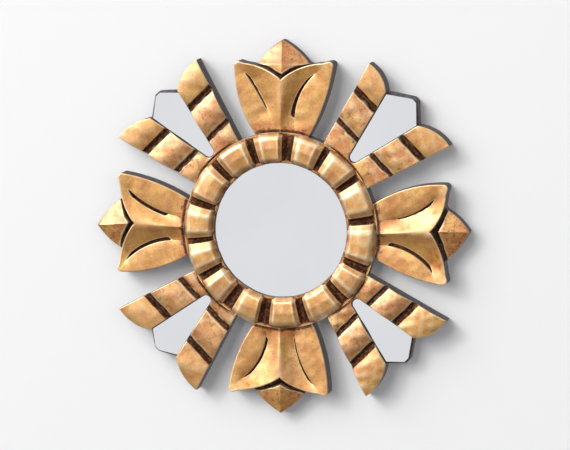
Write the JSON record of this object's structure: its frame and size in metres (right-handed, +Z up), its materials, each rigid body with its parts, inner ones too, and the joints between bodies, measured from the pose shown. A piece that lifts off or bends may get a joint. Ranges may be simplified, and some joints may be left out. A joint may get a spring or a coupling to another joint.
{
  "type": "sunburst wall mirror",
  "caption": "Sunburst wall mirror: notched gilded ring round a mirror disc, carved lily petals on the axes, paired rays with kite mirrors between, D-ring hanger behind.",
  "frame": {"origin": "on the ring's axis, in the plane of the back that lies against the wall", "axes": "+X to the viewer's right, +Z up, +Y into the wall; the carved face looks towards -Y"},
  "size_m": [0.3018, 0.021, 0.2986],
  "materials": {
    "gilded_wood": "gold leaf over red-brown size, rubbed and toned dark in the hollows, sawn sides painted dark grey",
    "mirror_glass": "silvered float glass",
    "hardboard": "brown hardboard, smooth face",
    "grey_card": "matt grey board",
    "fixing_steel": "zinc plated",
    "hanger_steel": "nickel plated"
  },
  "bodies": {
    "mirror": {"carved_ring": "gilded_wood", "petal_top": "gilded_wood", "petal_right": "gilded_wood", "petal_bottom": "gilded_wood", "petal_left": "gilded_wood", "ray_fan_upper_right": "gilded_wood", "ray_fan_upper_left": "gilded_wood", "ray_fan_lower_left": "gilded_wood", "ray_fan_lower_right": "gilded_wood", "kite_glass_upper_right": "mirror_glass", "kite_glass_upper_left": "mirror_glass", "kite_glass_lower_left": "mirror_glass", "kite_glass_lower_right": "mirror_glass", "round_glass": "mirror_glass", "packing_disc": "grey_card", "back_board": "hardboard", "back_board_nails": "fixing_steel", "tongue_screws": "fixing_steel", "hanger_strap": "hanger_steel", "hanger_screw": "fixing_steel"},
    "hanger_ring": {"hanger_ring": "hanger_steel"}
  },
  "joints": [
    {"name": "hanger_ring_swing", "type": "hinge", "parent": "mirror", "child": "hanger_ring", "pos_m": [0, -0.0023, 0.0965], "axis": [-1, 0, 0], "range_deg": [0, 168]}
  ]
}
